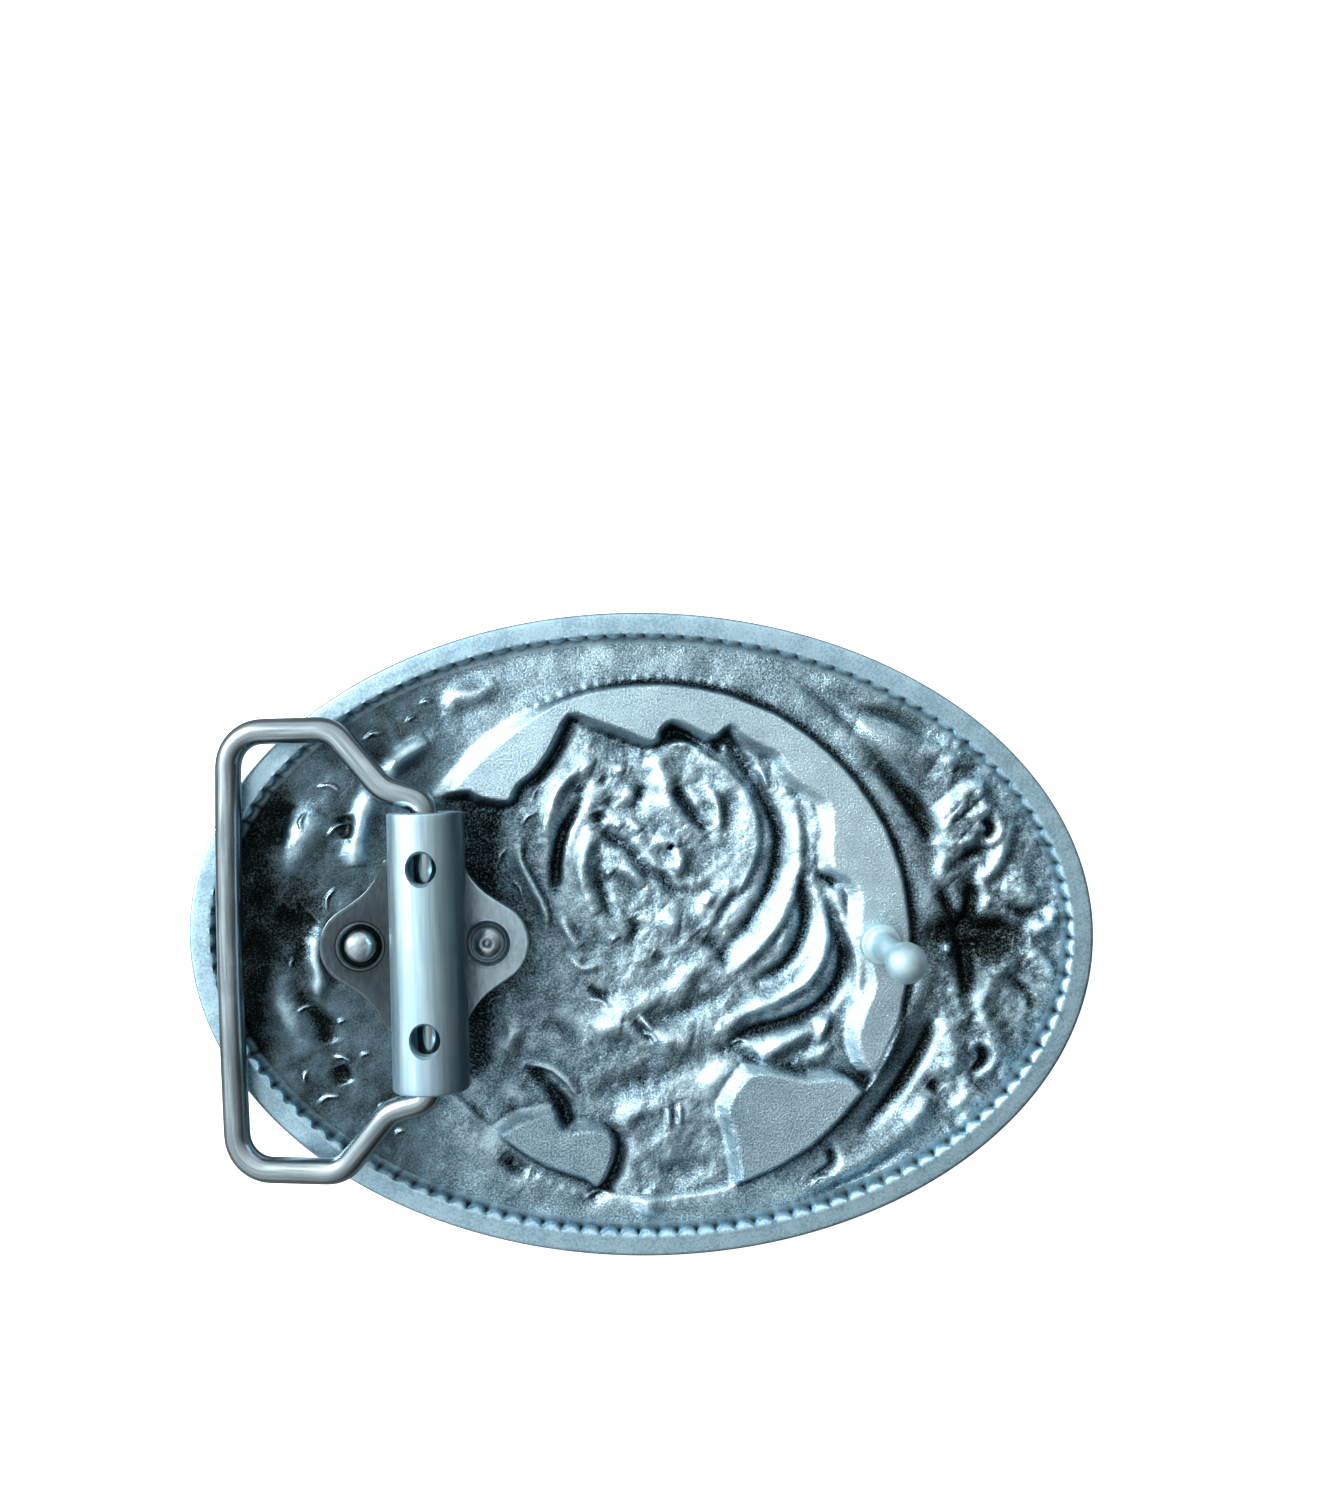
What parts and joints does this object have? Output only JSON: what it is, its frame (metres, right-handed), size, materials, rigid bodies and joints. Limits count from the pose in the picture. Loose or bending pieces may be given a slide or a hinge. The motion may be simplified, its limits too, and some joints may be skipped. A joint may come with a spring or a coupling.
{
  "type": "belt buckle",
  "caption": "Oval cast belt buckle seen from its back, with a hollow rose medallion, a riveted hinge bracket, a swinging wire bail and a leaning hook stud.",
  "frame": {"origin": "on the surface that the buckle's face rests on, under the middle of the oval plate", "axes": "+X along the plate's long axis, from the bail towards the hook stud; +Y along its short axis, towards the top of the rose; +Z out of the plate's back, away from the face"},
  "size_m": [0.095, 0.0676, 0.0131],
  "materials": {
    "plate_casting": "antique silver plating on a zinc alloy casting, matt grain, dark in its hollows",
    "barrel_satin": "pale satin silver plating, drawn lengthwise",
    "saddle_stamping": "dark antique silver plating, pale on its edges",
    "rivet_metal": "burnished dome, dark around its foot",
    "bail_wire": "brushed gunmetal plating",
    "stud_satin": "pale matt silver plating"
  },
  "bodies": {
    "plate_body": {"face_plate": "plate_casting", "bracket_saddle": "saddle_stamping", "bracket_barrel": "barrel_satin", "rivet_left": "rivet_metal", "rivet_right": "rivet_metal", "hook_stud": "stud_satin"},
    "bail_body": {"bail": "bail_wire"}
  },
  "joints": [
    {"name": "bail_hinge", "type": "hinge", "parent": "plate_body", "child": "bail_body", "pos_m": [-0.0215, -0.00116, 0.00907], "axis": [-0.0332, 0.9995, 0], "range_deg": [0, 196]}
  ]
}
